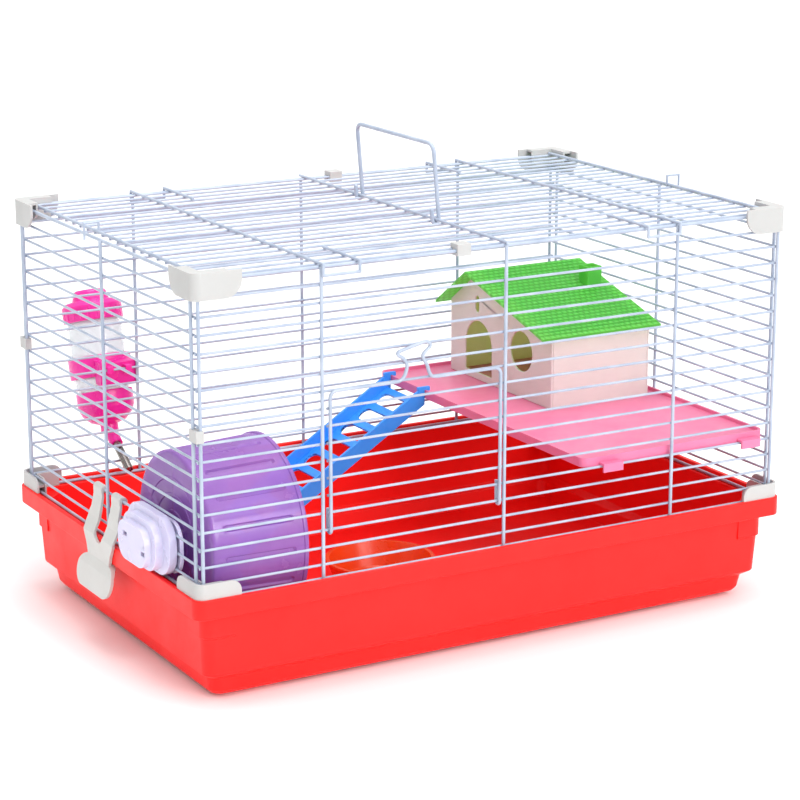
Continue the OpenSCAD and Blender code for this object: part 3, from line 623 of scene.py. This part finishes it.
for radius, along, part in drum:
    ring = []
    for angle, gap in around:
        r, x = radius, along
        if part == "wall":
            r -= TREAD_DEPTH * tread(gap, along - drum_w / 2)
        if part == "face":
            off_spoke = (angle + spoke_step / 2) % spoke_step - spoke_step / 2
            x -= RELIEF * face_relief(radius, abs(radius * math.sin(off_spoke)))
        ring.append(((drum_x + x) * MM, axle_y + r * MM * math.sin(angle),
                     axle_z - r * MM * math.cos(angle)))
    wheel_rings.append(ring)
wheel_verts, wheel_faces = skin_rings(wheel_rings, caps=False)
piece("wheel_drum_pressed", wheel_verts, wheel_faces, "wheel", wheel_purple,
      ("wheel_drum",))

# %% [markdown]
# ## The roof of the house
# The roof is pressed with small overlapping shingles, about 6 mm wide, in staggered rows. Each
# slope becomes a grid with a point every 1.2 mm, and each point is raised by the height of the
# shingle it lies on, so the relief is real and holds from every side. Its colour carries painted
# light: a painted highlight on the raised shingles, and painted shade in the grooves, where
# light does not reach.

# %% The roof of the house
roof_low, roof_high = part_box("house_roof")
roof_mesh = nodes["house_roof"].data
ridge_y = max((v.co.z, v.co.y) for v in roof_mesh.vertices)[1]
front_eave = min((v.co.y, v.co.z) for v in roof_mesh.vertices)
back_eave = max((v.co.y, -v.co.z) for v in roof_mesh.vertices)
roof_depth = 2.4 * MM
GRID = 1.2
SHINGLE = 6
SHINGLE_RISE = 0.9


def shingle(u, v):
    """Height of the relief, 0 to 1, at u along the ridge and v down the slope, in mm."""
    row = math.floor(v / SHINGLE)
    across = (u / SHINGLE + 0.5 * (row % 2)) % 1 - 0.5
    down = v / SHINGLE - row
    return max(0.0, 1 - (2.1 * across) ** 4) * min(1.0, down * 1.25) * (1 - (down > 0.93))


def slope_grid(y0, y1, z0, z1, verts, faces):
    """The upper surface of one slope from the ridge (y0, z0) to the eave (y1, z1), with the relief;
    the flat underside is added after.
    """
    length = math.hypot(y1 - y0, z1 - z0)
    long_steps = round((roof_high.x - roof_low.x) / (GRID * MM))
    down_steps = round(length / (GRID * MM))
    out_y, out_z = (z0 - z1) / length, abs(y1 - y0) / length
    out_y = out_y * (1 if y1 > y0 else -1)
    base = len(verts)
    for i in range(long_steps + 1):
        x = roof_low.x + (roof_high.x - roof_low.x) * i / long_steps
        for k in range(down_steps + 1):
            t = k / down_steps
            edge = i in (0, long_steps) or k in (0, down_steps)
            height = 0 if edge else shingle((x - roof_low.x) / MM, t * length / MM)
            lift = SHINGLE_RISE * MM * height
            verts.append((x, y0 + (y1 - y0) * t + out_y * lift,
                          z0 + (z1 - z0) * t + out_z * lift))
    row = down_steps + 1
    for i in range(long_steps):
        for k in range(down_steps):
            a = base + i * row + k
            faces.append((a, a + 1, a + row + 1, a + row))
    return base, long_steps, row


roof_verts, roof_faces = [], []
for eave in (front_eave, back_eave):
    top_z = roof_high.z
    low_top = eave[1] if eave is front_eave else -eave[1]
    eave_top = low_top + roof_depth
    base, count, row = slope_grid(ridge_y, eave[0], top_z, eave_top, roof_verts, roof_faces)
    under = len(roof_verts)
    for x in (roof_low.x, roof_high.x):
        roof_verts += [(x, ridge_y, top_z - roof_depth), (x, eave[0], eave_top - roof_depth)]
    roof_faces.append((under, under + 1, under + 3, under + 2))
    near = [base + k for k in range(row)]
    far = [base + count * row + k for k in range(row)]
    roof_faces.append(tuple(near + [under + 1, under]))
    roof_faces.append(tuple(far + [under + 3, under + 2]))
    roof_faces.append(tuple([base + i * row + row - 1 for i in range(count + 1)]
                            + [under + 3, under + 1]))


def shingle_plastic_painted_light():
    """The roof's plastic with a painted highlight on each raised shingle and painted shade in the
    grooves between.
    """
    material = roof_green.copy()
    material.name = "roof_polypropylene_green_painted_shingle_light"
    tree = material.node_tree
    glossy = next(n for n in tree.nodes if n.type == "BSDF_PRINCIPLED")
    place = add(tree, "ShaderNodeSeparateXYZ",
                links={0: add(tree, "ShaderNodeTexCoord").outputs["Object"]})
    along = add(tree, "ShaderNodeMath", {"operation": "SUBTRACT", 1: roof_low.x - SHINGLE / 2 * MM},
                {0: place.outputs["X"]})
    from_ridge = add(tree, "ShaderNodeMath", {"operation": "SUBTRACT", 1: ridge_y},
                     {0: place.outputs["Y"]})
    distance = add(tree, "ShaderNodeMath", {"operation": "ABSOLUTE"},
                   {0: from_ridge.outputs[0]})
    rows = add(tree, "ShaderNodeCombineXYZ", {}, {"X": along.outputs[0],
                                                 "Y": distance.outputs[0]})
    level = abs(front_eave[0] - ridge_y)
    slope = level / math.hypot(level, roof_high.z - roof_depth - front_eave[1])
    # painted light: Color1 and Color2 paint a highlight on the raised shingles, and Mortar paints
    # shade in the grooves
    painted_shingle_light_and_groove_shade = add(tree, "ShaderNodeTexBrick",
                  {"Color1": linear("#74DE68"), "Color2": linear("#68D45E"),
                   "Mortar": linear("#3CA438"), "Scale": 1 / MM, "Mortar Size": 1.1,
                   "Mortar Smooth": 0.6, "Brick Width": SHINGLE,
                   "Row Height": SHINGLE * slope},
                  {"Vector": rows.outputs[0]})
    tree.links.new(painted_shingle_light_and_groove_shade.outputs["Color"], glossy.inputs["Base Color"])
    return material


piece("house_roof_shingles", roof_verts, roof_faces, "roof", shingle_plastic_painted_light(),
      ("house_roof",))

# %% [markdown]
# ## Finishes for the solids that stay
# The walls of wire, the clips, the latches and the bottle already have the right shape. They
# keep their solids and get their finish, and a small bevel where the mould rounds the edges.

# %% Finishes for the solids that stay
finishes = {
    "base_tray": polypropylene_red, "front_panel": coated_wire, "back_panel": coated_wire,
    "left_panel": coated_wire, "right_panel": coated_wire, "roof_panel": coated_wire,
    "front_door": coated_wire, "carry_handle": coated_wire,
    "corner_clips": polypropylene_white, "roof_clips": polypropylene_white,
    "left_latch": latch_white, "right_latch": latch_white, "wheel_drum": wheel_purple,
    "wheel_axle": polystyrene_lilac, "wheel_bracket": polystyrene_lilac,
    "bracket_cover": polystyrene_lilac, "shelf": polystyrene_pink,
    "ladder": polypropylene_blue, "house_front": house_cream_painted_roof_light, "house_back": house_cream_painted_roof_light,
    "house_low_wall": house_cream_painted_roof_light, "house_high_wall": house_cream_painted_roof_light, "house_roof": roof_green,
    "house_chimney": roof_green, "food_dish": dish_orange, "bottle_body": bottle_pet,
    "bottle_cap": polypropylene_magenta, "bottle_holder": polypropylene_magenta,
    "bottle_nozzle": polypropylene_magenta, "drinking_tube": tube_steel,
    "tube_ball": tube_steel}
edge_radius = {"shelf": 0.9, "ladder": 0.7, "house_front": 0.8, "house_back": 0.8,
               "house_low_wall": 0.5, "house_high_wall": 0.5, "house_chimney": 0.8,
               "bracket_cover": 1.6, "wheel_bracket": 1.0, "left_latch": 0.8,
               "right_latch": 0.8, "corner_clips": 0.8, "roof_clips": 0.8,
               "bottle_cap": 0.5, "bottle_holder": 0.7, "bottle_nozzle": 0.5}
for name, solid in nodes.items():
    finish = finishes.get(name, polypropylene_white)
    solid.data.materials.clear()
    solid.data.materials.append(finish)
    radius = edge_radius.get(name, 0.7 if "corner_" in name else 0)
    if radius:
        weld = solid.modifiers.new("weld", "WELD")
        weld.merge_threshold = 0.00001
        bevel = solid.modifiers.new("moulded_edges", "BEVEL")
        bevel.width = radius * MM
        bevel.segments = 3
        bevel.limit_method = "ANGLE"
        bevel.angle_limit = math.radians(40)
        bevel.harden_normals = True
print("finishes on", len(nodes), "solids")

# %% [markdown]
# ## Floor, light and camera
# A plain pale floor, a surround that is brighter overhead than at the horizon, a wide ceiling
# diffuser, a low wide one in front that reaches in through the bars, and a softbox above: the
# quiet light of a catalogue studio. The camera stands to the left of the front and a little
# above, with a long lens, so the lines stay nearly parallel.

# %% Floor, light and camera
floor_material, floor_tree = new_material("studio_floor_matt_paper")
floor_place = add(floor_tree, "ShaderNodeTexCoord").outputs["Object"]
fibre = add(floor_tree, "ShaderNodeTexNoise", {"Scale": 900.0, "Detail": 2.0},
            {"Vector": floor_place})
fibre_bump = add(floor_tree, "ShaderNodeBump", {"Strength": 0.1, "Distance": 0.05 * MM},
                 {"Height": fibre.outputs["Fac"]})
paper = add(floor_tree, "ShaderNodeBsdfPrincipled",
            {"Base Color": linear("#F7F7F7"), "Roughness": 0.85},
            {"Normal": fibre_bump.outputs["Normal"]})
finish_nodes(floor_tree, paper)
floor_mesh = bpy.data.meshes.new("studio_floor")
floor_mesh.from_pydata([(-12, -12, 0), (12, -12, 0), (12, 12, 0), (-12, 12, 0)], [],
                       [(0, 1, 2, 3)])
floor = bpy.data.objects.new("studio_floor", floor_mesh)
floor.data.materials.append(floor_material)
floor.location.z = -0.0002
scene.collection.objects.link(floor)

world = bpy.data.worlds.new("studio_surround")
world.use_nodes = True
sky = world.node_tree
direction = add(sky, "ShaderNodeTexCoord")
up = add(sky, "ShaderNodeSeparateXYZ", links={0: direction.outputs["Generated"]})
brightness = add(sky, "ShaderNodeMapRange", {"From Min": -0.2, "From Max": 1.0, "To Min": 0.5,
                                             "To Max": 1.25}, {"Value": up.outputs["Z"]})
sky.nodes["Background"].inputs["Color"].default_value = linear("#FFFFFF")
sky.links.new(brightness.outputs["Result"], sky.nodes["Background"].inputs["Strength"])
scene.world = world


def softbox(name, place, target, size, watts):
    """A square area light that looks at a point."""
    light = bpy.data.lights.new(name, "AREA")
    light.shape = "SQUARE"
    light.size = size
    light.energy = watts
    made = bpy.data.objects.new(name, light)
    made.location = place
    made.rotation_euler = (Vector(target) - Vector(place)).to_track_quat("-Z", "Y").to_euler()
    scene.collection.objects.link(made)
    return made


def wide_light(name, comes_from, strength, spread):
    """A sun with a very wide disc: the even light of a large ceiling of diffusers."""
    light = bpy.data.lights.new(name, "SUN")
    light.energy = strength
    light.angle = math.radians(spread)
    made = bpy.data.objects.new(name, light)
    made.rotation_euler = Vector(comes_from).to_track_quat("Z", "Y").to_euler()
    scene.collection.objects.link(made)
    return made


wide_light("ceiling_diffuser", (0.35, -0.75, 1.3), 0.65, 55)
wide_light("front_diffuser", (0.15, -1.0, 0.42), 1.45, 30)
softbox("top_softbox", (-0.1, 0.1, 2.4), (0, 0, 0.1), 1.2, 20)

camera_data = bpy.data.cameras.new("studio_camera")
camera_data.sensor_width = 36
camera_data.lens = 114.45
camera = bpy.data.objects.new("studio_camera", camera_data)
camera.location = (-1.0911, -1.9179, 0.7686)
looks_along = Vector((0.4789, 0.8392, -0.2578))
camera.rotation_euler = looks_along.to_track_quat("-Z", "Y").to_euler()
camera_data.clip_end = 100
scene.collection.objects.link(camera)
scene.camera = camera
scene.view_settings.view_transform = "Standard"
print("camera and lights set")
